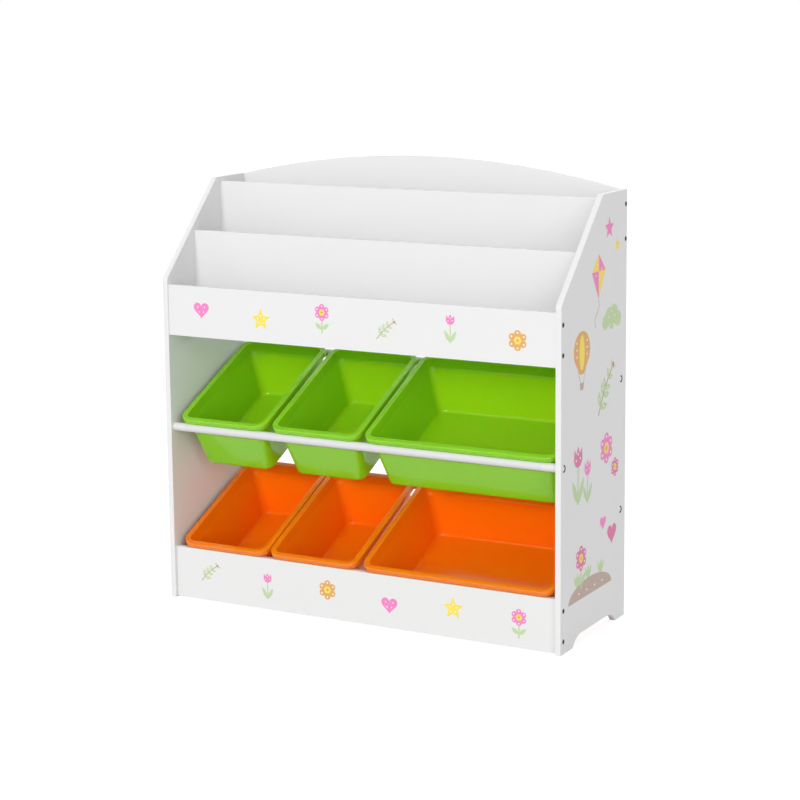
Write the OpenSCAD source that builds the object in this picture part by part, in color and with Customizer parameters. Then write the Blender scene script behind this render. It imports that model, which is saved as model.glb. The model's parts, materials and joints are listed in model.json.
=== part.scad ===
// Children's storage shelf: three stepped book pockets over two rows of lift-out bins.
// Millimetres. The origin is on the floor, midway across the width and the depth.
// The open front faces -Y, and every height is taken from the floor.

/* [Boards] */
// Thickness of every board
board_t = 12; // [10:0.5:16]
// Depth of a side panel, front to back
shelf_d = 320; // [310:1:380]
// Height of a side panel
side_h = 898; // [880:1:960]
// Rise of the arched back panel above the side panels, at its middle
arch_rise = 52; // [30:1:90]
// Height above the fascia at which a side panel's front edge starts to slope back
kink_rise = 13; // [5:1:40]
// Length of the level top edge of a side panel
top_edge_l = 122; // [100:1:140]
// Radius of the two blunt corners of a side panel
corner_r = 14; // [5:1:25]

/* [Feet] */
// Length of the front foot along the floor
front_foot_l = 58; // [40:1:80]
// Length of the rear foot along the floor
rear_foot_l = 48; // [36:1:70]
// Height of the arch between the feet
foot_arch_h = 21.5; // [12:0.5:32]
// Radius of the coves at both ends of that arch
foot_cove_r = 50; // [35:1:60]

/* [Book pockets] */
// Drop from the top of a side panel to the underside of the highest pocket floor
rear_pocket_h = 117; // [100:1:130]
// Rise from one pocket floor to the next
tier_rise = 101; // [85:1:110]
// Distance of the front fascia from the front edges of the side panels
fascia_setback = 3; // [0:0.5:8]
// Height of the front fascia
fascia_h = 108; // [90:1:120]
// Clear depth of the front pocket
front_pocket_d = 92; // [80:1:100]
// Clear depth of the middle pocket
middle_pocket_d = 94; // [80:1:100]
// Height of the middle book front
middle_front_h = 213; // [180:1:225]
// Height of the rear book front
rear_front_h = 208; // [180:1:215]

/* [Plinth] */
// Distance of the plinth from the front edges of the side panels
plinth_setback = 8; // [4:0.5:14]
// Gap between the plinth and the floor
plinth_lift = 2; // [1:0.5:10]
// Height of the plinth board
plinth_h = 111; // [95:1:125]

/* [Bins] */
// Width of a small bin over its rim
small_bin_w = 215; // [180:1:260]
// Width of a large bin over its rim
large_bin_w = 438; // [380:1:500]
// Depth of a bin from its rim to its underside
bin_depth = 129; // [100:1:135]
// Wall thickness of the moulding
bin_wall = 2.4; // [1.8:0.1:3.2]
// Width of the flat rim
rim_w = 12; // [11:0.5:16]
// Depth of the skirt that hangs from the edge of the rim
skirt_h = 11.5; // [9:0.5:16]
// Outside corner radius of the rim
rim_corner_r = 28; // [22:1:36]
// Radius that rolls the rim into its skirt
rim_roll_r = 1.8; // [1:0.1:2.2]
// Depth of the steep band below the opening
band_h = 23; // [16:1:32]
// Inward taper of that band
band_taper = 1.2; // [0.5:0.1:2]
// Width of the small step under the band
ledge_w = 2; // [1:0.1:2.4]
// Inward lean of the side walls, from opening to floor
side_draft = 13.5; // [6:0.5:24]
// Inward lean of the front wall, from opening to floor
front_draft = 6; // [4:0.5:16]
// Inward lean of the rear wall, from opening to floor
rear_draft = 19.5; // [6:0.5:34]
// Corner radius of the floor of a bin, measured inside
floor_corner_r = 18; // [14:0.5:28]
// Radius inside, where the walls turn into the floor
floor_fillet_r = 7; // [4:0.5:12]

/* [Bin rows] */
// Slope of the upper row of bins, in degrees
upper_tilt = 25.1; // [18:0.1:27]
// Slope of the lower row of bins, in degrees
lower_tilt = 24.4; // [18:0.1:27]
// Free width in a row of bins
row_slack = 38; // [12:1:60]
// Shares of that width to the left of each bin of the upper row
upper_shares = [0.34, 0.34, 0.24]; // [0:0.01:0.4]
// Shares of that width to the left of each bin of the lower row
lower_shares = [0.32, 0.1, 0.32]; // [0:0.01:0.4]
// Gap between the skirt of a bin and what it rests on
seat_gap = 0.3; // [0.2:0.05:0.6]

/* [Rails] */
// Outside diameter of a rail
rail_d = 18; // [14:0.5:18.5]
// Wall of the steel tube
rail_wall = 1.2; // [0.8:0.1:2]
// Distance of the front rail's axis from the front edges of the side panels
front_rail_y = 14.4; // [12:0.1:20]
// Distance of the upper rear rail's axis from the back edges of the side panels
rear_rail_y = 25; // [20:0.5:45]
// Height of the front rail's axis
front_rail_z = 377.5; // [365:0.5:390]
// Overhang of a rim past the axis of its rail
rim_overhang = 0.3; // [0:0.05:0.6]
// Distance of the lower bins' skirts behind the front face of the plinth
skirt_setback = 1.5; // [1:0.1:4]
// Visible length of the plug at each end of a rail
plug_collar_l = 34; // [20:1:50]
// Length of the plug inside the tube
plug_spigot_l = 26; // [15:1:40]

/* [Fasteners] */
// Radial clearance of each screw, dowel and fitting in its hole
fit_gap = 0.1; // [0.05:0.05:0.15]
// Shank diameter of a carcass screw
screw_d = 5; // [4:0.1:6]
// Head diameter of a carcass screw
screw_head_d = 10; // [8:0.1:10.5]
// Height of the cylindrical head of a carcass screw
screw_head_h = 3; // [2:0.1:4]
// Length of a carcass screw
screw_l = 40; // [30:1:50]
// Thread diameter of a rail bolt
bolt_d = 6; // [5:0.5:7]
// Length of a rail bolt under its head
bolt_l = 36; // [25:1:50]
// Width across the flats of a rail bolt's head
bolt_head_af = 10; // [8:0.5:11]
// Height of a rail bolt's head
bolt_head_h = 4; // [3:0.1:5]
// Diameter of the recess round a rail bolt's head
bolt_recess_d = 15; // [13:0.5:18]
// Depth of that recess in the side panel
bolt_recess_h = 5; // [4.2:0.1:6]
// Dowel diameter
dowel_d = 6; // [5:0.5:8]
// Dowel length
dowel_l = 26; // [20:1:32]
// Depth of the blind holes in the side panels
blind_h = 8; // [6:0.5:9]
// Diameter of a cam lock
cam_d = 12; // [10:0.5:15]
// Height of a cam lock
cam_h = 9.5; // [8.5:0.1:9.8]
// Distance of a cam lock from the end of its board
cam_inset = 24; // [18:0.5:34]
// Thread diameter of a cam bolt
cam_bolt_d = 5; // [4:0.5:6]
// Neck diameter of a cam bolt
cam_neck_d = 3; // [2:0.1:3.4]
// Ball diameter at the end of a cam bolt
cam_ball_d = 4.6; // [4:0.1:5]

/* [Hidden] */
$fn = 48;
// Amount by which a cutter passes through the face that it opens
past = 1;

// Widths and the main planes
inner_w = 2 * small_bin_w + large_bin_w + row_slack;
shelf_w = inner_w + 2 * board_t;
inner_x = inner_w / 2;
front_y = -shelf_d / 2;
back_y = shelf_d / 2;
sides = [-1, 1];

// The boards between the side panels, each as [front face, underside, depth, height]
fascia_y = front_y + fascia_setback;
middle_front_y = fascia_y + board_t + front_pocket_d;
rear_front_y = middle_front_y + board_t + middle_pocket_d;
back_panel_y = back_y - board_t;
rear_pocket_d = back_panel_y - rear_front_y - board_t;
rear_z = side_h - rear_pocket_h;
middle_z = rear_z - tier_rise;
tier_z = middle_z - tier_rise;
kink_h = tier_z + fascia_h + kink_rise;
plinth_y = front_y + plinth_setback;
plinth_top = plinth_lift + plinth_h;
fascia_box = [fascia_y, tier_z, board_t, fascia_h];
middle_front_box = [middle_front_y, tier_z, board_t, middle_front_h];
rear_front_box = [rear_front_y, middle_z, board_t, rear_front_h];
plinth_box = [plinth_y, plinth_lift, board_t, plinth_h];
front_floor_box = [fascia_y + board_t, tier_z, front_pocket_d, board_t];
middle_floor_box = [middle_front_y + board_t, middle_z, middle_pocket_d, board_t];
rear_floor_box = [rear_front_y + board_t, rear_z, rear_pocket_d, board_t];

// The arch of the back panel: one circle through its two ends and its crown
arch_h = side_h + arch_rise;
arch_r = (inner_x * inner_x + arch_rise * arch_rise) / (2 * arch_rise);

// Holes through the side panels into the ends of boards that stand upright
screw_end_inset = 24;
back_screw_rise = 16;
back_screw_drop = 30;
screw_places = [
    for (board = [fascia_box, plinth_box])
        for (z = [board[1] + screw_end_inset, board[1] + board[3] - screw_end_inset])
            [board[0] + board_t / 2, z],
    for (z = [rear_z + back_screw_rise, side_h - back_screw_drop])
        [back_panel_y + board_t / 2, z]
];
// Blind fittings: upright boards take a cam and a dowel one above the other
cam_rise = 40;
dowel_rise = 150;
upright_boards = [middle_front_box, rear_front_box];
// Level boards take them one behind the other
floor_boards = [front_floor_box, middle_floor_box, rear_floor_box];
cam_share = 0.3;
dowel_share = 0.72;
upright_cam_places = [for (b = upright_boards) [b[0] + board_t / 2, b[1] + cam_rise]];
floor_cam_places = [for (b = floor_boards) [b[0] + b[2] * cam_share, b[1] + board_t / 2]];
cam_places = concat(upright_cam_places, floor_cam_places);
dowel_places = concat(
    [for (b = upright_boards) [b[0] + board_t / 2, b[1] + dowel_rise]],
    [for (b = floor_boards) [b[0] + b[2] * dowel_share, b[1] + board_t / 2]]
);

// How a rim sits over a rail: the distance of the rim's top from the rail's axis
rail_r = rail_d / 2;
seat_h = skirt_h + rail_r + seat_gap;
// Length between the two rails of the upper row, which gives a bin its length over the rim
rail_pitch = (shelf_d - front_rail_y - rear_rail_y) / cos(upper_tilt);
bin_l = rail_pitch + 2 * rim_overhang;

// A point in a bin row's own axes, b along the slope and c square to it, as [y, z]
function on_slope(tilt, origin, b, c) = [
    origin[0] + b * cos(tilt) - c * sin(tilt),
    origin[1] + b * sin(tilt) + c * cos(tilt)
];

// Upper row: from the front rail to the front edge of the rims, and to the rear rail
front_rail = [front_y + front_rail_y, front_rail_z];
upper_origin = on_slope(upper_tilt, front_rail, -rim_overhang, seat_h);
upper_rear_rail = on_slope(upper_tilt, front_rail, rail_pitch, 0);
// Lower row: the front skirts stand on the plinth, and the rear ones on the lower rear rail
skirt_foot = [plinth_y + skirt_setback, plinth_top + seat_gap];
lower_origin = on_slope(lower_tilt, skirt_foot, 0, skirt_h);
lower_rear_rail = on_slope(lower_tilt, lower_origin, bin_l - rim_overhang, -seat_h);
rail_places = [front_rail, upper_rear_rail, lower_rear_rail];
tube_l = inner_w - 2 * plug_collar_l;

// Left edges of the bins in a row
bin_widths = [small_bin_w, small_bin_w, large_bin_w];
function total(values, count) = count == 0 ? 0 : values[count - 1] + total(values, count - 1);
function bin_left(shares, i) =
    -inner_x + row_slack * total(shares, i + 1) + total(bin_widths, i);

// Colours
board_white = [0.93, 0.93, 0.93];
rail_white = [0.95, 0.95, 0.95];
plug_white = [0.90, 0.90, 0.89];
zinc = [0.72, 0.73, 0.74];
dark_steel = [0.16, 0.16, 0.17];
beech = [0.80, 0.66, 0.46];
bin_green = [0.45, 0.76, 0.13];
bin_orange = [0.98, 0.42, 0.04];

// Arc that rounds the corner b of the path a, b, c
function corner_arc(a, b, c, r, steps = 8) =
    let (
        u = (a - b) / norm(a - b),
        v = (c - b) / norm(c - b),
        half = acos(u * v) / 2,
        mid = (u + v) / norm(u + v),
        centre = b + mid * r / sin(half),
        from = b + u * r / tan(half) - centre,
        to = b + v * r / tan(half) - centre,
        turn = atan2(from[0] * to[1] - from[1] * to[0], from * to)
    )
    [for (i = [0 : steps])
        let (angle = turn * i / steps)
        centre + [
            from[0] * cos(angle) - from[1] * sin(angle),
            from[0] * sin(angle) + from[1] * cos(angle)
        ]];

// Places a shape drawn with X as depth and Y as height between two planes of constant x
module across(x0, x1) {
    translate([x0, 0, 0])
        rotate([90, 0, 90])
            linear_extrude(height = x1 - x0)
                children();
}

// A cylinder along X, from x0 to x1, with its axis at place = [y, z]
module x_rod(place, x0, x1, d) {
    translate([min(x0, x1), place[0], place[1]])
        rotate([0, 90, 0])
            cylinder(d = d, h = abs(x1 - x0));
}

// Outline of a side panel, seen from its side
module side_outline() {
    foot = [front_y, 0];
    kink = [front_y, kink_h];
    slope_end = [back_y - top_edge_l, side_h];
    heel = [back_y, side_h];
    difference() {
        polygon(concat(
            [foot],
            corner_arc(foot, kink, slope_end, corner_r),
            corner_arc(kink, slope_end, heel, corner_r),
            [heel, [back_y, 0]]
        ));
        foot_arch();
    }
}

// Opening between the feet: a level top that runs into a cove at each end
module foot_arch() {
    centre_z = foot_arch_h - foot_cove_r;
    reach = sqrt(foot_cove_r * foot_cove_r - centre_z * centre_z);
    cove_front = front_y + front_foot_l + reach;
    cove_rear = back_y - rear_foot_l - reach;
    translate([cove_front, -past])
        square([cove_rear - cove_front, foot_arch_h + past]);
    for (y = [cove_front, cove_rear])
        translate([y, centre_z])
            circle(r = foot_cove_r, $fn = 96);
}

// One side panel with every hole that is drilled in it; side is -1 at the left and 1 at the right
module side_panel(side) {
    face = side * inner_x;
    outer = side * (inner_x + board_t);
    color(board_white)
        difference() {
            across(min(face, outer), max(face, outer))
                side_outline();
            for (place = screw_places) {
                x_rod(place, face - side * past, outer + side * past, screw_d + 2 * fit_gap);
                x_rod(place, outer - side * (screw_head_h + fit_gap), outer + side * past,
                    screw_head_d + 2 * fit_gap);
            }
            for (place = rail_places) {
                x_rod(place, face - side * past, outer + side * past, bolt_d + 2 * fit_gap);
                x_rod(place, outer - side * bolt_recess_h, outer + side * past, bolt_recess_d);
            }
            for (place = cam_places)
                x_rod(place, face - side * past, face + side * blind_h, cam_bolt_d + 2 * fit_gap);
            for (place = dowel_places)
                x_rod(place, face - side * past, face + side * blind_h, dowel_d + 2 * fit_gap);
        }
}

module left_side_panel() {
    side_panel(-1);
}

module right_side_panel() {
    side_panel(1);
}

// A plain board between the side panels, given as [front face, underside, depth, height]
module board_blank(box) {
    translate([-inner_x, box[0], box[1]])
        cube([inner_w, box[2], box[3]]);
}

// Pilot holes in both ends of a board for the screws at the given places
module screw_pilots(places) {
    for (side = sides, place = places)
        x_rod(place, side * (inner_x - screw_l), side * (inner_x + past), screw_d + 2 * fit_gap);
}

// Holes in both ends of a board for a dowel and a cam bolt
module end_holes(cam_place, dowel_place) {
    for (side = sides) {
        x_rod(dowel_place, side * (inner_x - dowel_l + blind_h - past), side * (inner_x + past),
            dowel_d + 2 * fit_gap);
        x_rod(cam_place, side * (inner_x - cam_inset), side * (inner_x + past),
            cam_bolt_d + 2 * fit_gap);
    }
}

// Frame of a cam lock: its axis runs out of the face that it is let into.
// Upright boards take it from behind, and level boards from below.
module at_cam(side, place, upright) {
    translate([side * (inner_x - cam_inset), place[0], place[1]])
        rotate(upright ? [-90, 0, 0] : [180, 0, 0])
            children();
}

// Pocket for a cam lock, open at the face of the board
module cam_pocket(place, upright) {
    for (side = sides)
        at_cam(side, place, upright)
            translate([0, 0, board_t / 2 - cam_h - fit_gap])
                cylinder(d = cam_d + 2 * fit_gap, h = cam_h + fit_gap + past);
}

// A board that is held by a cam lock and a dowel at each end
module fitted_board(box, cam_place, dowel_place, upright) {
    color(board_white)
        difference() {
            board_blank(box);
            end_holes(cam_place, dowel_place);
            cam_pocket(cam_place, upright);
        }
}

module middle_book_front() {
    fitted_board(middle_front_box, cam_places[0], dowel_places[0], true);
}

module rear_book_front() {
    fitted_board(rear_front_box, cam_places[1], dowel_places[1], true);
}

module front_tier_floor() {
    fitted_board(front_floor_box, cam_places[2], dowel_places[2], false);
}

module middle_tier_floor() {
    fitted_board(middle_floor_box, cam_places[3], dowel_places[3], false);
}

module rear_tier_floor() {
    fitted_board(rear_floor_box, cam_places[4], dowel_places[4], false);
}

// A board that is held by two screws at each end
module screwed_board(box, places) {
    color(board_white)
        difference() {
            board_blank(box);
            screw_pilots(places);
        }
}

module front_fascia() {
    screwed_board(fascia_box, [screw_places[0], screw_places[1]]);
}

module plinth_board() {
    screwed_board(plinth_box, [screw_places[2], screw_places[3]]);
}

// Back panel: a board whose top edge is one long arc, level with the side panels at its ends
module arched_back_panel() {
    color(board_white)
        difference() {
            intersection() {
                board_blank([back_panel_y, rear_z, board_t, arch_h - rear_z]);
                translate([0, back_panel_y - past, arch_h - arch_r])
                    rotate([-90, 0, 0])
                        cylinder(r = arch_r, h = board_t + 2 * past, $fn = 360);
            }
            screw_pilots([screw_places[4], screw_places[5]]);
        }
}

// A steel tube that ends at the collars of its two plugs
module rail_tube(place) {
    half = tube_l / 2;
    color(rail_white)
        difference() {
            x_rod(place, -half, half, rail_d);
            x_rod(place, -half - past, half + past, rail_d - 2 * rail_wall);
        }
}

module front_rail_tube() {
    rail_tube(front_rail);
}

module upper_rear_rail_tube() {
    rail_tube(upper_rear_rail);
}

module lower_rear_rail_tube() {
    rail_tube(lower_rear_rail);
}

// Moulded plugs: a collar that carries on the line of the tube, and a spigot inside it
module rail_end_plugs() {
    color(plug_white)
        for (side = sides, place = rail_places)
            difference() {
                union() {
                    x_rod(place, side * (inner_x - plug_collar_l), side * inner_x, rail_d);
                    x_rod(place, side * (tube_l / 2 - plug_spigot_l), side * tube_l / 2,
                        rail_d - 2 * rail_wall - 2 * fit_gap);
                }
                x_rod(place, side * (tube_l / 2 - plug_spigot_l - past), side * (inner_x + past),
                    bolt_d + 2 * fit_gap);
            }
}

// Hexagon bolts that clamp the plugs to the side panels from outside
module rail_bolts() {
    seat_x = inner_x + board_t - bolt_recess_h;
    color(zinc)
        for (side = sides, place = rail_places) {
            x_rod(place, side * (seat_x - bolt_l), side * seat_x, bolt_d);
            translate([side * (seat_x + (side > 0 ? 0 : bolt_head_h)), place[0], place[1]])
                rotate([0, 90, 0])
                    cylinder(d = bolt_head_af / cos(30), h = bolt_head_h, $fn = 6);
        }
}

// Socket screws through the side panels into the ends of the fascia, plinth and back panel
module confirmat_screws() {
    point_l = 4;
    socket_af = 4;
    socket_h = 2.4;
    color(dark_steel)
        for (side = sides, place = screw_places)
            translate([side * (inner_x + board_t), place[0], place[1]])
                rotate([0, -90 * side, 0])
                    difference() {
                        rotate_extrude()
                            polygon([
                                [0, 0],
                                [screw_head_d / 2, 0],
                                [screw_head_d / 2, screw_head_h],
                                [screw_d / 2, screw_head_h],
                                [screw_d / 2, screw_l - point_l],
                                [0, screw_l]
                            ]);
                        translate([0, 0, -past])
                            cylinder(d = socket_af / cos(30), h = socket_h + past, $fn = 6);
                    }
}

// Zinc cam locks, each with the slot that takes the ball of its bolt
module cam_locks() {
    slot_d = cam_ball_d + 4 * fit_gap;
    recess_w = 1.6;
    recess_l = 7;
    recess_h = 1.2;
    color(zinc)
        for (side = sides, i = [0 : len(cam_places) - 1])
            at_cam(side, cam_places[i], i < len(upright_boards))
                difference() {
                    translate([0, 0, board_t / 2 - cam_h])
                        cylinder(d = cam_d, h = cam_h);
                    rotate([0, 90 * side, 0])
                        translate([0, 0, -slot_d / 2])
                            cylinder(d = slot_d, h = cam_d);
                    for (turn = [0, 90])
                        rotate(turn)
                            translate([-recess_l / 2, -recess_w / 2, board_t / 2 - recess_h])
                                cube([recess_l, recess_w, recess_h + past]);
                }
}

// Cam bolts: a threaded end in the side panel, a thin neck, and the ball inside the cam lock
module cam_bolts() {
    thread_l = blind_h - fit_gap;
    color(zinc)
        for (side = sides, place = cam_places) {
            x_rod(place, side * inner_x, side * (inner_x + thread_l), cam_bolt_d);
            x_rod(place, side * (inner_x - cam_inset), side * inner_x, cam_neck_d);
            translate([side * (inner_x - cam_inset), place[0], place[1]])
                sphere(d = cam_ball_d);
        }
}

// Beech dowels, half hidden in the side panels
module wooden_dowels() {
    color(beech)
        for (side = sides, place = dowel_places)
            x_rod(place, side * (inner_x + blind_h - fit_gap),
                side * (inner_x + blind_h - fit_gap - dowel_l), dowel_d);
}

// One closed ring round a bin at height z: insets from the rim's edge, and a corner radius
corner_steps = 7;
function bin_ring(w, side, front, rear, r, z) = [
    for (corner = [
        [w - side - r, front + r, -90],
        [w - side - r, bin_l - rear - r, 0],
        [side + r, bin_l - rear - r, 90],
        [side + r, front + r, 180]
    ])
        for (i = [0 : corner_steps])
            let (angle = corner[2] + 90 * i / corner_steps)
            [corner[0] + r * cos(angle), corner[1] + r * sin(angle), z]
];

// A ring that is the same distance in on every side
function even_ring(w, inset, z) =
    bin_ring(w, inset, inset, inset, rim_corner_r - inset, z);

// Height of the inside floor, and the share of the wall's lean that is reached at height z
floor_z = bin_wall - bin_depth;
wall_top_inset = rim_w + band_taper + ledge_w;
function lean(draft, z) =
    let (share = (-band_h - z) / (-band_h - floor_z))
    wall_top_inset + (rim_w + draft - wall_top_inset) * share;

// A ring on the leaning wall, moved in by fillet, with skin taken off it for the outside
function wall_ring(w, z, lean_z, fillet, skin) =
    let (share = (-band_h - lean_z) / (-band_h - floor_z))
    bin_ring(w,
        lean(side_draft, lean_z) + fillet - skin,
        lean(front_draft, lean_z) + fillet - skin,
        lean(rear_draft, lean_z) + fillet - skin,
        (rim_corner_r - wall_top_inset) * (1 - share) + floor_corner_r * share - fillet + skin,
        z);

// The turn from wall to floor, from the floor (angle 90) to the wall (angle 0)
fillet_angles = [90, 60, 30, 0];
function floor_turn(w, z, r, skin, angles) = [
    for (a = angles)
        wall_ring(w, z + r * (1 - sin(a)), z + r, r * (1 - cos(a)), skin)
];

// Rings from the middle of the inside floor, up the inside, over the rim and down the outside
function bin_rings(w) =
    let (
        edge = rim_roll_r,
        outer_fillet = floor_fillet_r + bin_wall,
        diagonal = 1 - sqrt(0.5)
    )
    concat(
        floor_turn(w, floor_z, floor_fillet_r, 0, fillet_angles),
        [
            wall_ring(w, -band_h, -band_h, 0, 0),
            even_ring(w, rim_w + band_taper, -band_h),
            even_ring(w, rim_w, -edge),
            even_ring(w, rim_w - edge * diagonal, -edge * diagonal),
            even_ring(w, rim_w - edge, 0),
            even_ring(w, edge, 0),
            even_ring(w, edge * diagonal, -edge * diagonal),
            even_ring(w, 0, -edge),
            even_ring(w, 0, -skirt_h),
            even_ring(w, bin_wall, -skirt_h),
            even_ring(w, bin_wall, -bin_wall),
            even_ring(w, rim_w - bin_wall, -bin_wall),
            even_ring(w, rim_w + band_taper - bin_wall, -band_h - bin_wall),
            wall_ring(w, -band_h - bin_wall, -band_h, 0, bin_wall)
        ],
        floor_turn(w, -bin_depth, outer_fillet, bin_wall, [for (a = fillet_angles) 90 - a])
    );

// A closed skin through a list of rings, capped at the first and the last
module ring_skin(rings) {
    n = len(rings[0]);
    last = (len(rings) - 1) * n;
    polyhedron(
        points = [for (ring = rings) each ring],
        faces = concat(
            [[for (j = [n - 1 : -1 : 0]) j]],
            [for (i = [0 : len(rings) - 2], j = [0 : n - 1])
                let (k = (j + 1) % n)
                [i * n + j, i * n + k, (i + 1) * n + k, (i + 1) * n + j]],
            [[for (j = [0 : n - 1]) last + j]]
        ),
        convexity = 8
    );
}

// A moulded bin with its rim on the slope of its row
module bin(w, left, tilt, origin) {
    translate([left, origin[0], origin[1]])
        rotate([tilt, 0, 0])
            ring_skin(bin_rings(w));
}

module upper_bin(i) {
    color(bin_green)
        bin(bin_widths[i], bin_left(upper_shares, i), upper_tilt, upper_origin);
}

module lower_bin(i) {
    color(bin_orange)
        bin(bin_widths[i], bin_left(lower_shares, i), lower_tilt, lower_origin);
}

module upper_left_bin() {
    upper_bin(0);
}

module upper_middle_bin() {
    upper_bin(1);
}

module upper_large_bin() {
    upper_bin(2);
}

module lower_left_bin() {
    lower_bin(0);
}

module lower_middle_bin() {
    lower_bin(1);
}

module lower_large_bin() {
    lower_bin(2);
}

left_side_panel();
right_side_panel();
arched_back_panel();
rear_book_front();
middle_book_front();
front_fascia();
front_tier_floor();
middle_tier_floor();
rear_tier_floor();
plinth_board();
front_rail_tube();
upper_rear_rail_tube();
lower_rear_rail_tube();
rail_end_plugs();
rail_bolts();
confirmat_screws();
cam_locks();
cam_bolts();
wooden_dowels();
upper_left_bin();
upper_middle_bin();
upper_large_bin();
lower_left_bin();
lower_middle_bin();
lower_large_bin();
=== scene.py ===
"""Looks of the children's shelf: satin white boards, powder-coated rails, glossy bins and printed motifs."""

import json
import math

import bmesh
import bpy
from mathutils import Matrix, Vector

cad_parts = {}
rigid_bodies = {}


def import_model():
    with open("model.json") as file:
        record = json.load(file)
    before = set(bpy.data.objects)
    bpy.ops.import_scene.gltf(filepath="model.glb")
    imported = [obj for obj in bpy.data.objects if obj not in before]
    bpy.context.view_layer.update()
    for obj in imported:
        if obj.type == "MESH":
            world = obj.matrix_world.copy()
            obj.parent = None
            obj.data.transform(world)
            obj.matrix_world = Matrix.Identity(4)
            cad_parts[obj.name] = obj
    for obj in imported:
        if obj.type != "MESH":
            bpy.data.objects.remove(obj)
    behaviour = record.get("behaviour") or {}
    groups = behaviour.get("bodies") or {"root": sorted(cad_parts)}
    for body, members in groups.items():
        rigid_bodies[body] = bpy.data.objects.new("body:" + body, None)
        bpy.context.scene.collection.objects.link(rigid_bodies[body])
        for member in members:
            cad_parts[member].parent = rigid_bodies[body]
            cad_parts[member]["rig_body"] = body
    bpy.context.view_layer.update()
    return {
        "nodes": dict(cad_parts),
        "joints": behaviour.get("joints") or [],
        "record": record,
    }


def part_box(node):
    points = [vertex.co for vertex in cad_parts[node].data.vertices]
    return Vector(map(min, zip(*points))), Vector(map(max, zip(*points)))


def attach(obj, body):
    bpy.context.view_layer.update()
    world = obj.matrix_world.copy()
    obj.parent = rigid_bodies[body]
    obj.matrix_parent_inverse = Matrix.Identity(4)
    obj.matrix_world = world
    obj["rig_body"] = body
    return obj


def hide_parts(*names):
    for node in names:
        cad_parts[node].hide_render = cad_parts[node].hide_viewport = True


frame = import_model()
SCENE = bpy.context.scene
MM = 0.001

# Camera, solved from the straight edges of the boards, in degrees and metres
CAMERA_YAW = 28.833
CAMERA_PITCH = 9.971
CAMERA_ROLL = -0.573
CAMERA_PLACE = Vector((2.1975, -3.9528, 1.3501))
# Greatest distance that it sees
CAMERA_REACH = 100
# Focal length and film width, in millimetres
CAMERA_LENS = 98.43
CAMERA_SENSOR = 36.0
# The photograph is cut a little low: its optical axis meets it above the middle by this share of its width
CAMERA_SHIFT = -0.0625

# Colours as they look in the photograph
WHITE_BOARD = "E2E2E2"
WHITE_TUBE = "D6D7D7"
WHITE_PLUG = "DADAD7"
BRIGHT_ZINC = "C9CBCE"
CAST_ZINC = "B4B7BB"
BLACK_OXIDE = "1C1C1E"
# Dark grey for the walls of the rail bolts' recesses: painted shade, darker than the board's bare core
RECESS_SHADE = "3C3B3A"
BARE_BEECH = "D8B888"
GREEN = "89CB1A"
ORANGE = "FF8207"

# Each slot's material and colour, then roughness, mottling, grain in features per metre, relief and metal
PLAIN_FINISHES = {
    "white_board": ("white_melamine", WHITE_BOARD, 0.42, 0.008, 420, 0.05 * MM, 0.0),
    "white_tube": ("white_powder_coat", WHITE_TUBE, 0.34, 0.01, 700, 0.06 * MM, 0.0),
    "white_plug": ("white_moulding", WHITE_PLUG, 0.38, 0.01, 300, 0.04 * MM, 0.0),
    "zinc_bolt": ("bright_zinc", BRIGHT_ZINC, 0.28, 0.05, 900, 0.03 * MM, 1.0),
    "zinc_fitting": ("cast_zinc", CAST_ZINC, 0.42, 0.06, 900, 0.05 * MM, 1.0),
    "dark_screw": ("black_oxide", BLACK_OXIDE, 0.4, 0.08, 900, 0.03 * MM, 0.6),
    # Painted shade on the walls of the rail bolts' recesses
    "painted_recess_shade": ("painted_recess_shade", RECESS_SHADE, 0.8, 0.1, 900, 0.1 * MM, 0.0),
    "beech": ("bare_beech", BARE_BEECH, 0.6, 0.12, 260, 0.1 * MM, 0.0),
}

# The bins' plastic: colour, and how far red, green and blue light soak in, as shares of the reach
BIN_PLASTICS = {"green": (GREEN, (2.0, 1.2, 0.2)), "orange": (ORANGE, (0.8, 0.8, 0.3))}
PLASTIC_ROUGH = 0.13
PLASTIC_MOTTLE = 0.015
PLASTIC_GRAIN = 160
PLASTIC_RELIEF = 0.02 * MM
PLASTIC_REACH = 5 * MM

# Printing inks: colour and mottling
INKS = {
    "pink": ("EE82C0", 0.04),
    "rose": ("D9739F", 0.04),
    "yellow": ("F3DC55", 0.04),
    "sage": ("BCD2A3", 0.04),
    "tan": ("B9A497", 0.04),
    "amber": ("DDA65C", 0.04),
    "chalk": ("F4F1EA", 0.02),
}
INK_ROUGH = 0.45
INK_GRAIN = 500
INK_RELIEF = 0.03 * MM

# Textures: size of the mottling in features per metre, detail, and the band of values that they use
MOTTLE_SCALE = 14
MOTTLE_DETAIL = 3
GRAIN_DETAIL = 4
TEXTURE_LOW = 0.35
TEXTURE_HIGH = 0.65
# Share by which the roughness varies, and strength of the relief
GLOSS_SPREAD = 0.12
RELIEF_STRENGTH = 0.35

# Boards and fittings: radius of their softened edges, and the angle at which an edge counts as sharp
BOARD_EDGE_R = 0.6 * MM
FITTING_EDGE_R = 0.2 * MM
EDGE_ANGLE = 30
EDGE_SEGMENTS = 2
# Weight of the large faces in the shading of the softened edges
FACE_WEIGHT = 100
# Corners closer than this are one, and faces that meet flatter than this are one
WELD_REACH = 0.002 * MM
FLAT_ANGLE = 1
# A face of a side panel lies in a rail bolt's recess if its corners are this near the rail's axis
RECESS_REACH = 7.6 * MM

# Rails and their plugs
TUBE_WALL = 1.2 * MM
BOLT_HOLE_R = 3.1 * MM
SPIGOT_L = 26 * MM
PLUG_GAP = 0.1 * MM
TUBE_EDGE = 0.5 * MM
PLUG_EDGE = 0.2 * MM
LATHE_STEPS = 64
LATHE_SHARP = 35

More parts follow.
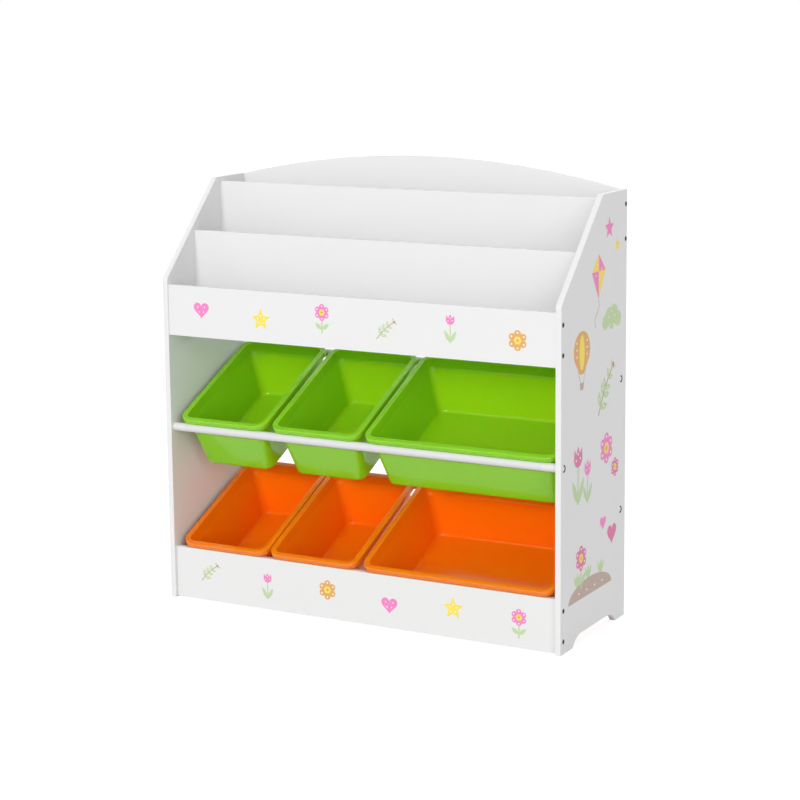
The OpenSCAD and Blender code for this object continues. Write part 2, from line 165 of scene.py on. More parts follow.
# The moulded bins
BIN_WALL = 2.4 * MM
RIM_W = 12 * MM
SKIRT_H = 11.5 * MM
SKIRT_LIP = 0.25 * MM
RIM_CORNER_R = 28 * MM
RIM_ROLL_R = 1.8 * MM
BAND_H = 23 * MM
BAND_TAPER = 1.2 * MM
LEDGE_W = 2 * MM
LEDGE_EASE = 3.6 * MM
LEDGE_KNEE = 0.4 * LEDGE_EASE
LEDGE_ROUND = 0.4 * MM
SIDE_DRAFT = 13.5 * MM
FRONT_DRAFT = 6 * MM
REAR_DRAFT = 19.5 * MM
FLOOR_CORNER_R = 18 * MM
FLOOR_FILLET_R = 7 * MM
CORNER_STEPS = 14
FILLET_STEPS = 7
ROLL_STEPS = 4
BIN_SHARP = 50

# Printed motifs stand this far off the board, and each layer this much over the last
INK_T = 0.12 * MM
INK_STEP = 0.05 * MM
# The two rows of small motifs: their number, pitch, and how far they step up and down
ROW_COUNT = 6
ROW_PITCH = 148 * MM
ROW_STEP = 6 * MM
# Each front board, and the motif that its row starts with
ROW_STARTS = (("front_fascia", 0), ("plinth_board", 3))

# Strength of the light from the surround
WORLD_LIGHT = 0.45
# The floor: its side in metres, the glow and the grey that are seen, and the grey that returns light
FLOOR_SIZE = 60
FLOOR_GLOW = 0.82
FLOOR_SHADE = 0.30
FLOOR_BOUNCE = 0.60
# Distant lamps: direction of the light, strength, spread in degrees, and whether it shows in the gloss
LAMPS = {
    "key": ((0.06, 1.0, -0.32), 1.2, 14, True),
    "fill": ((-0.8, 0.75, -0.2), 0.90, 40, False),
    "left": ((0.9, 0.35, -0.3), 0.24, 40, False),
    "back": ((0.0, -1.0, -0.5), 2.2, 30, False),
    "top": ((0.0, 0.35, -1.0), 0.54, 60, False),
}


def linear(code):
    """A hexadecimal screen colour as linear red, green, blue and alpha."""
    parts = [int(code[i:i + 2], 16) / 255 for i in (0, 2, 4)]
    return [c / 12.92 if c <= 0.04045 else ((c + 0.055) / 1.055) ** 2.4 for c in parts] + [1.0]


def mesh_of(name, form):
    """Closes an edit mesh and gives it as a mesh of that name."""
    mesh = bpy.data.meshes.new(name)
    form.to_mesh(mesh)
    form.free()
    return mesh


def new_object(name, mesh, body):
    """Links a mesh as a piece that rides on a body and takes its finish from a slot."""
    piece = bpy.data.objects.new(name, mesh)
    SCENE.collection.objects.link(piece)
    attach(piece, body)
    return piece


# Materials

def noise(tree, scale, detail, where):
    """A noise texture in the object's own coordinates, in features per metre."""
    texture = tree.nodes.new("ShaderNodeTexNoise")
    texture.inputs["Scale"].default_value = scale
    texture.inputs["Detail"].default_value = detail
    tree.links.new(where.outputs["Object"], texture.inputs["Vector"])
    return texture.outputs["Fac"]


def spread(tree, value, low, high):
    """Maps the band of a texture's values onto the range low to high."""
    ramp = tree.nodes.new("ShaderNodeMapRange")
    ramp.inputs["From Min"].default_value = TEXTURE_LOW
    ramp.inputs["From Max"].default_value = TEXTURE_HIGH
    ramp.inputs["To Min"].default_value = low
    ramp.inputs["To Max"].default_value = high
    tree.links.new(value, ramp.inputs["Value"])
    return ramp.outputs["Result"]


def tint(tree, value, colour, strength):
    """The colour, lightened and darkened a little by a texture."""
    mix = tree.nodes.new("ShaderNodeMix")
    mix.data_type = "RGBA"
    mix.inputs["A"].default_value = [c * (1 - strength) for c in colour[:3]] + [1.0]
    mix.inputs["B"].default_value = [min(1.0, c * (1 + strength)) for c in colour[:3]] + [1.0]
    tree.links.new(value, mix.inputs["Factor"])
    return mix.outputs["Result"]


def bump(tree, value, strength, distance):
    """Turns a texture into relief of that depth in metres."""
    relief = tree.nodes.new("ShaderNodeBump")
    relief.inputs["Strength"].default_value = strength
    relief.inputs["Distance"].default_value = distance
    tree.links.new(value, relief.inputs["Height"])
    return relief.outputs["Normal"]


def finish_of(name, code, rough, mottle, grain, depth, metal=0.0, glow=None):
    """A moulded, painted or plated finish: mottled colour, uneven gloss and fine surface relief."""
    surface = bpy.data.materials.new(name)
    surface.use_nodes = True
    tree = surface.node_tree
    shader = tree.nodes["Principled BSDF"]
    where = tree.nodes.new("ShaderNodeTexCoord")
    wide = noise(tree, MOTTLE_SCALE, MOTTLE_DETAIL, where)
    fine = noise(tree, grain, GRAIN_DETAIL, where)
    gloss = spread(tree, fine, rough * (1 - GLOSS_SPREAD), rough * (1 + GLOSS_SPREAD))
    tree.links.new(tint(tree, wide, linear(code), mottle), shader.inputs["Base Color"])
    tree.links.new(gloss, shader.inputs["Roughness"])
    tree.links.new(bump(tree, fine, RELIEF_STRENGTH, depth), shader.inputs["Normal"])
    shader.inputs["Metallic"].default_value = metal
    if glow:
        shader.inputs["Subsurface Weight"].default_value = 1.0
        shader.inputs["Subsurface Radius"].default_value = glow
        shader.inputs["Subsurface Scale"].default_value = PLASTIC_REACH
    return surface


def make_materials():
    """Every finish on the shelf, by the name of its slot or ink."""
    finishes = {slot: finish_of(*values) for slot, values in PLAIN_FINISHES.items()}
    for hue, (code, glow) in BIN_PLASTICS.items():
        finishes[hue + "_plastic"] = finish_of(hue + "_polypropylene", code, PLASTIC_ROUGH, PLASTIC_MOTTLE,
                                               PLASTIC_GRAIN, PLASTIC_RELIEF, glow=glow)
    for ink, (code, mottle) in INKS.items():
        finishes[ink] = finish_of(ink + "_ink", code, INK_ROUGH, mottle, INK_GRAIN, INK_RELIEF)
    return finishes


FINISH = make_materials()

# Boards, fittings and rails

BOARDS = ("left_side_panel", "right_side_panel", "arched_back_panel", "rear_book_front", "middle_book_front",
          "front_fascia", "front_tier_floor", "middle_tier_floor", "rear_tier_floor", "plinth_board")
FITTINGS = ("rail_bolts", "confirmat_screws", "cam_locks", "cam_bolts", "wooden_dowels")
RAILS = ("front_rail_tube", "upper_rear_rail_tube", "lower_rear_rail_tube")


def rail_axis(node):
    """The (y, z) place and the radius of a rail."""
    low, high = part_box(node)
    return ((low.y + high.y) / 2, (low.z + high.z) / 2), (high.z - low.z) / 2


def paint_recess_shade(mesh):
    """Gives the faces inside the recesses of the rail bolts a dark grey, which paints the shade in the
    recesses.
    """
    places = [rail_axis(node)[0] for node in RAILS]
    for face in mesh.polygons:
        corners = [mesh.vertices[i].co for i in face.vertices]
        for y, z in places:
            if all(math.hypot(c.y - y, c.z - z) < RECESS_REACH for c in corners):
                face.material_index = 1


def softened(node, width):
    """Replaces a solid by a copy with its coplanar triangles joined and its sharp edges rounded."""
    source = frame["nodes"][node]
    slot = next(s["material_slot"] for s in frame["record"]["subparts"] if s["node"] == node)
    form = bmesh.new()
    form.from_mesh(source.data)
    bmesh.ops.remove_doubles(form, verts=form.verts, dist=WELD_REACH)
    bmesh.ops.dissolve_limit(form, angle_limit=math.radians(FLAT_ANGLE), verts=form.verts, edges=form.edges)
    for face in form.faces:
        face.smooth = True
    mesh = mesh_of(node + "_soft", form)
    mesh.materials.append(FINISH[slot])
    if node.endswith("side_panel"):
        # The faces in the rail bolts' recesses get the dark grey of painted shade
        mesh.materials.append(FINISH["painted_recess_shade"])
        paint_recess_shade(mesh)
    piece = new_object(node + "_soft", mesh, source["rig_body"])
    edge = piece.modifiers.new("edges", "BEVEL")
    edge.width = width
    edge.segments = EDGE_SEGMENTS
    edge.limit_method = "ANGLE"
    edge.angle_limit = math.radians(EDGE_ANGLE)
    even = piece.modifiers.new("even_shading", "WEIGHTED_NORMAL")
    even.mode = "FACE_AREA"
    even.weight = FACE_WEIGHT
    even.keep_sharp = True
    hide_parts(node)


def make_carcass():
    """Boards with softened edges, and the fittings that hold them."""
    for node in BOARDS:
        softened(node, BOARD_EDGE_R)
    for node in FITTINGS:
        softened(node, FITTING_EDGE_R)


def lathe(name, outline, places, slot, node):
    """Revolves a closed outline of (x, radius) points round axes along X at the given (y, z) places."""
    form = bmesh.new()
    for y, z in places:
        rings = []
        for i in range(LATHE_STEPS):
            a = 2 * math.pi * i / LATHE_STEPS
            rings.append([form.verts.new((x, y + r * math.cos(a), z + r * math.sin(a))) for x, r in outline])
        for i in range(LATHE_STEPS):
            here, there = rings[i], rings[(i + 1) % LATHE_STEPS]
            for j in range(len(outline)):
                k = (j + 1) % len(outline)
                form.faces.new((here[j], here[k], there[k], there[j]))
    bmesh.ops.recalc_face_normals(form, faces=form.faces)
    mesh = mesh_of(name, form)
    mesh.shade_smooth()
    mesh.set_sharp_from_angle(angle=math.radians(LATHE_SHARP))
    mesh.materials.append(FINISH[slot])
    piece = new_object(name, mesh, "carcass")
    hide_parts(node)


def blunted(corners, cut):
    """A closed outline of (x, radius) corners with each corner cut off at that distance from it."""
    points = []
    count = len(corners)
    for i, corner in enumerate(corners):
        here = Vector(corner)
        for other in (corners[i - 1], corners[(i + 1) % count]):
            points.append(tuple(here + (Vector(other) - here).normalized() * cut))
    return points


def make_rails():
    """Three round tubes."""
    for node in RAILS:
        place, radius = rail_axis(node)
        low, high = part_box(node)
        bore = radius - TUBE_WALL
        tube = [(low.x, bore), (low.x, radius), (high.x, radius), (high.x, bore)]
        lathe(node + "_coated", blunted(tube, TUBE_EDGE), [place], "white_tube", node)


def make_plugs():
    """The plugs that carry on the line of every rail: a collar outside, and a spigot in the end of the tube."""
    places = [rail_axis(node)[0] for node in RAILS]
    radius = rail_axis(RAILS[0])[1]
    spigot_r = radius - TUBE_WALL - PLUG_GAP
    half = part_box(RAILS[0])[1].x
    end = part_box("rail_end_plugs")[1].x
    for side, label in ((-1, "left"), (1, "right")):
        tip, shoulder = side * (half - SPIGOT_L), side * (half + PLUG_GAP)
        collar = [(tip, BOLT_HOLE_R), (tip, spigot_r), (shoulder, spigot_r), (shoulder, radius),
                  (side * end, radius), (side * end, BOLT_HOLE_R)]
        lathe("rail_end_plugs_moulded_" + label, blunted(collar, PLUG_EDGE), places, "white_plug",
              "rail_end_plugs")


# Bins

def bin_ring(width, length, side, front, rear, r, z):
    """One closed ring round a bin at height z from its rim: insets from the rim's edge and a corner radius."""
    ring = []
    for x, y, start in ((width - side - r, front + r, -90), (width - side - r, length - rear - r, 0),
                        (side + r, length - rear - r, 90), (side + r, front + r, 180)):
        for i in range(CORNER_STEPS + 1):
            a = math.radians(start + 90 * i / CORNER_STEPS)
            ring.append(Vector((x + r * math.cos(a), y + r * math.sin(a), z)))
    return ring


def bin_rings(width, length, depth):
    """Rings from the inside floor, up the inside, over the rim, and down the outside to the underside."""
    floor_z = BIN_WALL - depth
    band_foot = RIM_W + BAND_TAPER
    wall_top = band_foot + LEDGE_W

    def even(inset, z):
        """A ring with the same inset on all four sides."""
        return bin_ring(width, length, inset, inset, inset, RIM_CORNER_R - inset, z)

    def wall(z, lean_z, moved, skin):
        """A ring at height z, inset as the leaning walls are at lean_z, then moved in, and out by the skin."""
        share = (-BAND_H - lean_z) / (-BAND_H - floor_z)
        insets = [wall_top + (RIM_W + draft - wall_top) * share + moved - skin
                  for draft in (SIDE_DRAFT, FRONT_DRAFT, REAR_DRAFT)]
        r = (RIM_CORNER_R - wall_top) * (1 - share) + FLOOR_CORNER_R * share - moved + skin
        return bin_ring(width, length, *insets, r, z)

    def floor_turn(z, r, skin, down):
        """Rings of the quarter turn from the floor at height z up to the walls, or down again."""
        angles = [math.radians(90 * i / FILLET_STEPS) for i in range(FILLET_STEPS + 1)]
        if down:
            angles.reverse()
        return [wall(z + r * (1 - math.cos(a)), z + r, r * (1 - math.sin(a)), skin) for a in angles]

    def roll(inset, turn):
        """Insets and heights of the quarter turn between the flat of the rim and a wall."""
        points = []
        for i in range(ROLL_STEPS + 1):
            a = math.radians(90 * i / ROLL_STEPS)
            points.append((inset - turn * RIM_ROLL_R * (1 - math.cos(a)), -RIM_ROLL_R * (1 - math.sin(a))))
        return points if turn > 0 else points[::-1]

    rings = floor_turn(floor_z, FLOOR_FILLET_R, 0, False)
    rings.append(wall(-BAND_H - LEDGE_EASE, -BAND_H - LEDGE_EASE, 0, 0))
    rings.append(even(wall_top - LEDGE_ROUND, -BAND_H - LEDGE_KNEE))
    rings.append(even(band_foot + LEDGE_ROUND, -BAND_H + LEDGE_KNEE))
    rings.append(even(band_foot, -BAND_H + LEDGE_EASE))
    rings += [even(inset, z) for inset, z in roll(RIM_W, 1) + roll(0, -1)]
    rings.append(even(SKIRT_LIP, -SKIRT_H))
    rings.append(even(BIN_WALL - SKIRT_LIP, -SKIRT_H))
    rings.append(even(BIN_WALL, -SKIRT_H + SKIRT_LIP))
    rings.append(even(BIN_WALL, -BIN_WALL))
    rings.append(even(RIM_W - BIN_WALL, -BIN_WALL))
    rings.append(even(band_foot - BIN_WALL, -BAND_H - BIN_WALL))
    rings.append(wall(-BAND_H - BIN_WALL, -BAND_H, 0, BIN_WALL))
    rings += floor_turn(-depth, FLOOR_FILLET_R + BIN_WALL, BIN_WALL, True)
    return rings


def bin_frame(joint):
    """Width, length and depth of a bin, and the matrix that sets it on its rails, from its solid."""
    axis = Vector(joint["axis"])
    tilt = Matrix.Rotation(math.atan2(-axis.y, axis.z), 4, "X")
    level = [tilt.inverted() @ v.co for v in frame["nodes"][joint["child"]].data.vertices]
    low = Vector([min(p[i] for p in level) for i in range(3)])
    high = Vector([max(p[i] for p in level) for i in range(3)])
    return high - low, tilt @ Matrix.Translation((low.x, low.y, high.z))


def make_bin(joint):
    """The moulded bin that a joint lifts: a rolled rim, a hanging skirt, a stepped band and even walls."""
    node = joint["child"]
    size, place = bin_frame(joint)
    slot = "green_plastic" if node.startswith("upper") else "orange_plastic"
    form = bmesh.new()
    rings = [[form.verts.new(place @ p) for p in ring] for ring in bin_rings(size.x, size.y, size.z)]
    count = len(rings[0])
    for low, high in zip(rings, rings[1:]):
        for j in range(count):
            k = (j + 1) % count
            form.faces.new((low[j], high[j], high[k], low[k]))
    form.faces.new(rings[0])
    form.faces.new(rings[-1][::-1])
    bmesh.ops.recalc_face_normals(form, faces=form.faces)
    mesh = mesh_of(node + "_moulded", form)
    mesh.shade_smooth()
    mesh.set_sharp_from_angle(angle=math.radians(BIN_SHARP))
    mesh.materials.append(FINISH[slot])
    piece = new_object(node + "_moulded", mesh, node)
    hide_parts(node)


def make_bins():
    """One moulded bin for each joint; its solid and its body have the same name."""
    for joint in frame["joints"]:
        make_bin(joint)


# Printed motifs: each shape is an ink and a closed outline of points in metres.
# The factors inside a motif are shares of its own size, and its headings are in degrees.

def disc(x, y, rx, ry=None, steps=40):
    """A circle or an ellipse."""
    ry = ry or rx
    return [(x + rx * math.cos(2 * math.pi * i / steps), y + ry * math.sin(2 * math.pi * i / steps))
            for i in range(steps)]


def star(x, y, r):
    """A five-pointed star with straight edges, one point up."""
    points, waist = 5, 0.45
    return [(x + r * (1 if i % 2 == 0 else waist) * math.sin(math.pi * i / points),
             y + r * (1 if i % 2 == 0 else waist) * math.cos(math.pi * i / points))
            for i in range(2 * points)][::-1]


def heart(x, y, r):
    """A plump heart of half-width r, on a curve that is 16 units to each side."""
    steps, unit = 48, 16
    outline = []
    for i in range(steps):
        a = 2 * math.pi * i / steps
        across = unit * math.sin(a) ** 3
        up = 13 * math.cos(a) - 5 * math.cos(2 * a) - 2 * math.cos(3 * a) - math.cos(4 * a)
        outline.append((x - across * r / unit, y + up * r / unit))
    return outline


def leaf(x, y, length, width, heading):
    """A pointed leaf from its stalk at (x, y), heading in degrees from +x."""
    steps = 10
    c, s = math.cos(math.radians(heading)), math.sin(math.radians(heading))
    edge = [(length * i / steps, width / 2 * math.sin(math.pi * i / steps)) for i in range(steps + 1)]
    lower = [(u, -v) for u, v in edge]
    upper = edge[-2:0:-1]
    return [(x + u * c - v * s, y + u * s + v * c) for u, v in lower + upper]


def ribbon(path, width):
    """A band of even width along a path of points."""
    left, right = [], []
    for i, point in enumerate(path):
        before, after = Vector(path[max(i - 1, 0)]), Vector(path[min(i + 1, len(path) - 1)])
        along = (after - before).normalized()
        side = Vector((-along.y, along.x)) * width / 2
        left.append(tuple(Vector(point) + side))
        right.append(tuple(Vector(point) - side))
    return right + left[::-1]


def wave(x, y, length, swing, heading, turns):
    """A wavy path from (x, y)."""
    steps = 14
    c, s = math.cos(math.radians(heading)), math.sin(math.radians(heading))
    path = []
    for i in range(steps + 1):
        u = length * i / steps
        v = swing * math.sin(2 * math.pi * turns * i / steps)
        path.append((x + u * c - v * s, y + u * s + v * c))
    return path


def puff(x, y, circles):
    """The outer outline of overlapping circles (dx, dy, r), as it is met on rays from (x, y)."""
    steps = 72
    outline = []
    for i in range(steps):
        a = 2 * math.pi * i / steps
        c, s = math.cos(a), math.sin(a)
        reach = 0.0
        for dx, dy, r in circles:
            along = dx * c + dy * s
            off = dx * s - dy * c
            if abs(off) < r:
                reach = max(reach, along + math.sqrt(r * r - off * off))
        outline.append((x + reach * c, y + reach * s))
    return outline


def dots(x, y, r, count, ring):
    """Small pale dots spaced evenly on a ring about (x, y)."""
    spots = []
    for i in range(count):
        a = 2 * math.pi * (i + 0.25) / count
        spots.append(("chalk", disc(x + ring * math.cos(a), y + ring * math.sin(a), r, steps=14)))
    return spots


def spot(x, y, r):
    """One small pale dot."""
    return "chalk", disc(x, y, r, steps=12)


def daisy(x, y, r, ink="pink"):
    """Six round petals, each with a pale dot, about a yellow eye."""
    petals = 6
    shapes, spots = [], []
    for i in range(petals):
        a = 2 * math.pi * (i + 0.5) / petals
        c, s = math.cos(a), math.sin(a)
        shapes.append((ink, disc(x + 0.62 * r * c, y + 0.62 * r * s, 0.33 * r, steps=20)))
        spots.append(spot(x + 0.7 * r * c, y + 0.7 * r * s, 0.09 * r))
    eye = [("yellow", disc(x, y, 0.34 * r, steps=24)), ("amber", disc(x, y, 0.15 * r, steps=18))]
    return shapes + spots + eye


def flower(x, y, height, ink="pink"):
    """A daisy on a stalk with two leaves; (x, y) is the foot of the stalk."""
    head = 0.3 * height
    top = y + height - head
    stalk = [("sage", ribbon([(x, y), (x, top)], 0.055 * height))]
    leaves = [("sage", leaf(x, y + 0.12 * height, 0.34 * height, 0.14 * height, heading))
              for heading in (40, 140)]
    return stalk + leaves + daisy(x, top, head, ink=ink)


def tulip(x, y, height, ink="rose"):
    """A cup-shaped bloom with pale dots, on a stalk with two long leaves; (x, y) is the foot of the stalk."""
    top = y + 0.66 * height
    # One side of the cup from lip to foot, and its three teeth, in shares of the height
    side = [(0.15, 0.3), (0.17, 0.1), (0.1, 0)]
    teeth = [(0.07, 0.2), (0, 0.34), (-0.07, 0.2)]
    edge = [(-u, v) for u, v in side] + [(0, -0.03)] + side[::-1] + teeth
    cup = [(x + u * height, top + v * height) for u, v in edge]
    return [("sage", ribbon([(x, y), (x, top)], 0.05 * height)),
            ("sage", leaf(x, y, 0.5 * height, 0.14 * height, 62)),
            ("sage", leaf(x, y, 0.5 * height, 0.14 * height, 118)),
            (ink, cup[::-1]),
            spot(x - 0.08 * height, top + 0.1 * height, 0.022 * height),
            spot(x + 0.08 * height, top + 0.12 * height, 0.022 * height),
            spot(x, top + 0.2 * height, 0.022 * height)]


def sprig(x, y, length, heading, pairs=4):
    """A curved tan stem with pairs of sage leaves, each with a pale dot, and a rose tip."""
    path = wave(x, y, length, 0.05 * length, heading, turns=0.5)
    shapes = [("tan", ribbon(path, 0.035 * length))]
    for i in range(pairs):
        px, py = path[int((i + 1) * (len(path) - 2) / pairs)]
        size = 0.3 * length * (1 - 0.12 * i)
        for turn in (-48, 48):
            shapes.append(("sage", leaf(px, py, size, 0.42 * size, heading + turn)))
            a = math.radians(heading + turn)
            shapes.append(spot(px + 0.5 * size * math.cos(a), py + 0.5 * size * math.sin(a), 0.06 * size))
    tip = path[-1]
    return shapes + [("rose", disc(tip[0], tip[1], 0.045 * length, steps=16))]


def balloon(x, y, height):
    """A striped hot-air balloon with its basket; (x, y) is the middle of the basket's floor."""
    r = 0.33 * height
    top = y + height - r
    ropes = [[(x + side * 0.05 * height, y + 0.1 * height), (x + side * 0.2 * height, top - 0.2 * height)]
             for side in (-1, 1)]
    dome = [(x + r * math.cos(a), top + r * math.sin(a))
            for a in [math.radians(-30 + 240 * i / 32) for i in range(33)]]
    throat = [(x - 0.08 * height, top - 1.22 * r), (x + 0.08 * height, top - 1.22 * r)]
    basket = [(x - 0.08 * height, y + 0.12 * height), (x - 0.06 * height, y),
              (x + 0.06 * height, y), (x + 0.08 * height, y + 0.12 * height)]
    shapes = [("tan", ribbon(rope, 0.012 * height)) for rope in ropes]
    shapes += [("amber", dome + throat), ("yellow", disc(x, top - 0.1 * r, 0.32 * r, 0.92 * r))]
    shapes += [spot(x + side * 0.62 * r, top + rise * r, 0.06 * r)
               for side in (-1, 1) for rise in (-0.25, 0.1, 0.45)]
    return shapes + [("tan", basket)]


def kite(x, y, height):
    """A four-panel kite with a wavy tail; (x, y) is its lower tip."""
    w = 0.36 * height
    cross = (x, y + 0.62 * height)
    tips = [(x, y), (x + w, cross[1]), (x, y + height), (x - w, cross[1])]
    tail = wave(x, y, 0.62 * height, 0.07 * height, -105, turns=1.0)
    shapes = [("tan", ribbon(tail, 0.022 * height))]
    for i, ink in enumerate(("yellow", "pink", "yellow", "pink")):
        shapes.append((ink, [tips[i], tips[(i + 1) % 4], cross]))
    return shapes + dots(x, cross[1] - 0.02 * height, 0.02 * height, 4, 0.17 * height)


def cloud(x, y, w):
    """A sage cloud of five lobes on a level base."""
    circles = [(-0.32 * w, -0.02 * w, 0.16 * w), (-0.13 * w, 0.08 * w, 0.2 * w), (0.12 * w, 0.1 * w, 0.22 * w),
               (0.33 * w, -0.01 * w, 0.17 * w), (0, -0.06 * w, 0.14 * w)]
    return [("sage", puff(x, y, circles))] + dots(x, y + 0.02 * w, 0.02 * w, 5, 0.16 * w)


def hillock(x, y, w):
    """A low tan mound with pale dots and tufts of grass; (x, y) is the middle of its foot."""
    mound = [(x + w / 2 * math.cos(a), y + 0.17 * w * math.sin(a))
             for a in [math.pi * i / 30 for i in range(31)]]
    tufts = []
    for share in (-0.3, -0.05, 0.24):
        foot = y + 0.15 * w * math.sqrt(1 - (2 * share) ** 2)
        tufts += [("sage", leaf(x + share * w, foot, 0.15 * w, 0.04 * w, turn)) for turn in (62, 90, 118)]
    specks = [spot(x + share * w, y + 0.06 * w, 0.012 * w) for share in (-0.26, -0.08, 0.1, 0.28)]
    return tufts + [("tan", mound)] + specks


def print_mesh(name, shapes, place):
    """Lays the shapes as thin prints on a face: place maps (x, y, out) to the shelf's own axes."""
    form = bmesh.new()
    inks = []
    for layer, (ink, outline) in enumerate(shapes):
        if ink not in inks:
            inks.append(ink)
        top = INK_T + INK_STEP * layer / len(shapes)
        upper = [form.verts.new(place @ Vector((u, v, top))) for u, v in outline]
        lower = [form.verts.new(place @ Vector((u, v, 0))) for u, v in outline]
        faces = [form.faces.new(upper), form.faces.new(lower[::-1])]
        for j in range(len(outline)):
            k = (j + 1) % len(outline)
            faces.append(form.faces.new((upper[j], lower[j], lower[k], upper[k])))
        for face in faces:
            face.material_index = inks.index(ink)
    bmesh.ops.recalc_face_normals(form, faces=form.faces)
    mesh = mesh_of(name, form)
    for ink in inks:
        mesh.materials.append(FINISH[ink])
    new_object(name, mesh, "carcass")


def front_place(node):
    """Maps a motif onto the front face of a board: x to the right, y up from the board's middle."""
    low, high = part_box(node)
    return Matrix.Translation((0, low.y, (low.z + high.z) / 2)) @ Matrix.Rotation(math.radians(90), 4, "X")


def side_place(side):
    """Maps a motif onto the outer face of a side panel: x to the back, y up from the floor."""
    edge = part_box("right_side_panel")[1].x
    return Matrix(((0, 0, side, side * edge), (1, 0, 0, 0), (0, 1, 0, 0), (0, 0, 0, 1)))


def front_motifs(x, y):
    """The six small motifs of the front boards, each about the point (x, y)."""
    return (
        [("pink", heart(x, y, r=19 * MM))] + dots(x, y + 2 * MM, r=1.6 * MM, count=5, ring=9 * MM),
        [("yellow", star(x, y, r=24 * MM))] + dots(x, y, r=1.6 * MM, count=5, ring=8 * MM),
        flower(x, y - 30 * MM, height=62 * MM),
        sprig(x - 20 * MM, y - 20 * MM, length=56 * MM, heading=42),
        tulip(x, y - 28 * MM, height=58 * MM, ink="pink"),
        daisy(x, y, r=22 * MM, ink="amber"),
    )


def make_front_prints():
    """A row of small motifs along the fascia and along the plinth."""
    for node, start in ROW_STARTS:
        place = front_place(node)
        for i in range(ROW_COUNT):
            x = (i - (ROW_COUNT - 1) / 2) * ROW_PITCH
            y = -ROW_STEP if i % 2 else ROW_STEP
            motifs = front_motifs(x, y)
            print_mesh("%s_motif_%d" % (node, i + 1), motifs[(i + start) % len(motifs)], place)


def side_motifs():
    """The larger motifs of a side panel, placed from its middle and from the floor."""
    return {
        "star": [("pink", star(70 * MM, 828 * MM, r=23 * MM)),
                 ("yellow", star(112 * MM, 790 * MM, r=14 * MM))],
        "kite": kite(18 * MM, 690 * MM, height=92 * MM),
        "cloud": cloud(84 * MM, 640 * MM, w=96 * MM),
        "balloon": balloon(-62 * MM, 520 * MM, height=118 * MM),
        "sprig": sprig(20 * MM, 452 * MM, length=120 * MM, heading=52, pairs=5),
        "tulips": (tulip(-78 * MM, 290 * MM, height=120 * MM)
                   + tulip(-32 * MM, 284 * MM, height=90 * MM, ink="pink")),
        "daisies": daisy(62 * MM, 378 * MM, r=34 * MM) + daisy(106 * MM, 330 * MM, r=21 * MM, ink="rose"),
        "hearts": [("rose", heart(92 * MM, 194 * MM, r=23 * MM)),
                   ("pink", heart(46 * MM, 226 * MM, r=15 * MM))],
        "hill": (hillock(-16 * MM, 92 * MM, w=214 * MM)
                 + flower(-62 * MM, 112 * MM, height=92 * MM, ink="rose")),
    }


def make_side_prints():
    """The same motifs over the outer face of each side panel."""
    for side, name in ((1, "right"), (-1, "left")):
        for label, shapes in side_motifs().items():
            print_mesh("%s_side_%s" % (name, label), shapes, side_place(side))


# Stage

def make_camera():
    """The photograph's camera, with the small shift of its framing and no depth of field."""
    yaw, pitch, roll = (math.radians(a) for a in (CAMERA_YAW, CAMERA_PITCH, CAMERA_ROLL))
    ahead = Vector((-math.sin(yaw) * math.cos(pitch), math.cos(yaw) * math.cos(pitch), -math.sin(pitch)))
    level = Vector((math.cos(yaw), math.sin(yaw), 0))
    up = level.cross(ahead)
    right = level * math.cos(roll) + up * math.sin(roll)
    top = up * math.cos(roll) - level * math.sin(roll)
    data = bpy.data.cameras.new("camera")
    data.lens = CAMERA_LENS
    data.sensor_width = CAMERA_SENSOR
    data.shift_y = CAMERA_SHIFT
    data.clip_end = CAMERA_REACH
    camera = bpy.data.objects.new("camera", data)
    camera.matrix_world = Matrix.Translation(CAMERA_PLACE) @ Matrix((right, top, -ahead)).transposed().to_4x4()
    SCENE.collection.objects.link(camera)
    SCENE.camera = camera


def seen_directly(tree):
    """1 for camera, glossy and transmission rays, and 0 for the rays that carry diffuse light."""
    path = tree.nodes.new("ShaderNodeLightPath")
    total = path.outputs["Is Camera Ray"]
    for name in ("Is Glossy Ray", "Is Transmission Ray"):
        add = tree.nodes.new("ShaderNodeMath")
        add.operation = "MAXIMUM"
        tree.links.new(total, add.inputs[0])
        tree.links.new(path.outputs[name], add.inputs[1])
        total = add.outputs[0]
    return total


def by_ray(tree, unseen, seen, output):
    """Sends one shader to the rays that see it and the other to the rays that carry diffuse light."""
    mix = tree.nodes.new("ShaderNodeMixShader")
    tree.links.new(seen_directly(tree), mix.inputs["Fac"])
    tree.links.new(unseen.outputs[0], mix.inputs[1])
    tree.links.new(seen.outputs[0], mix.inputs[2])
    tree.links.new(mix.outputs[0], tree.nodes[output].inputs["Surface"])


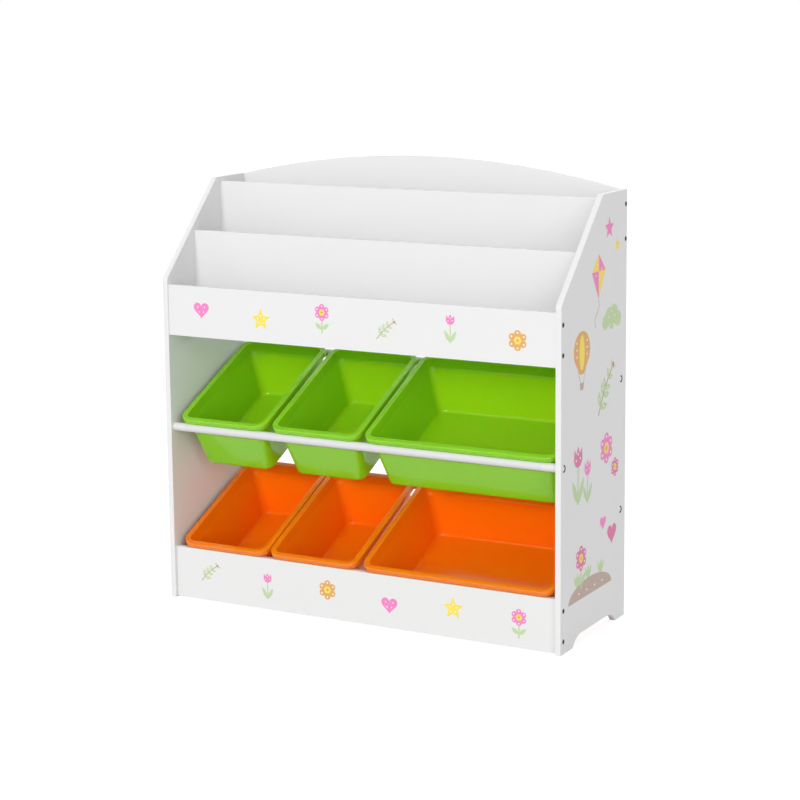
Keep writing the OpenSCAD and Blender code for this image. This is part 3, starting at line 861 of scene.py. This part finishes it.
def make_world():
    """A white surround that lights the shelf at a plain level."""
    world = bpy.data.worlds.new("studio")
    world.use_nodes = True
    SCENE.world = world
    tree = world.node_tree
    light = tree.nodes["Background"]
    white = tree.nodes.new("ShaderNodeBackground")
    for shader, strength in ((light, WORLD_LIGHT), (white, 1.0)):
        shader.inputs["Color"].default_value = (1, 1, 1, 1)
        shader.inputs["Strength"].default_value = strength
    by_ray(tree, light, white, "World Output")


def make_floor():
    """A wide pale floor that looks white and keeps a faint shadow."""
    bpy.ops.mesh.primitive_plane_add(size=FLOOR_SIZE)
    floor = bpy.context.object
    floor.name = "floor"
    surface = bpy.data.materials.new("studio_floor")
    surface.use_nodes = True
    tree = surface.node_tree
    tree.nodes.remove(tree.nodes["Principled BSDF"])
    plain = tree.nodes.new("ShaderNodeBsdfDiffuse")
    plain.inputs["Color"].default_value = (FLOOR_BOUNCE, FLOOR_BOUNCE, FLOOR_BOUNCE, 1)
    shade = tree.nodes.new("ShaderNodeBsdfDiffuse")
    shade.inputs["Color"].default_value = (FLOOR_SHADE, FLOOR_SHADE, FLOOR_SHADE, 1)
    glow = tree.nodes.new("ShaderNodeEmission")
    glow.inputs["Strength"].default_value = FLOOR_GLOW
    both = tree.nodes.new("ShaderNodeAddShader")
    tree.links.new(shade.outputs[0], both.inputs[0])
    tree.links.new(glow.outputs[0], both.inputs[1])
    by_ray(tree, plain, both, "Material Output")
    floor.data.materials.append(surface)


def make_lights():
    """A key from the front, which also makes the highlights, and soft light from all round and above."""
    for name, (toward, strength, spread_angle, mirrored) in LAMPS.items():
        data = bpy.data.lights.new(name, "SUN")
        data.energy = strength
        data.angle = math.radians(spread_angle)
        lamp = bpy.data.objects.new(name, data)
        lamp.rotation_euler = Vector(toward).to_track_quat("-Z", "Y").to_euler()
        lamp.visible_glossy = mirrored
        SCENE.collection.objects.link(lamp)


make_camera()
make_carcass()
make_rails()
make_plugs()
make_bins()
make_front_prints()
make_side_prints()
make_world()
make_floor()
make_lights()
SCENE.view_settings.view_transform = "Standard"
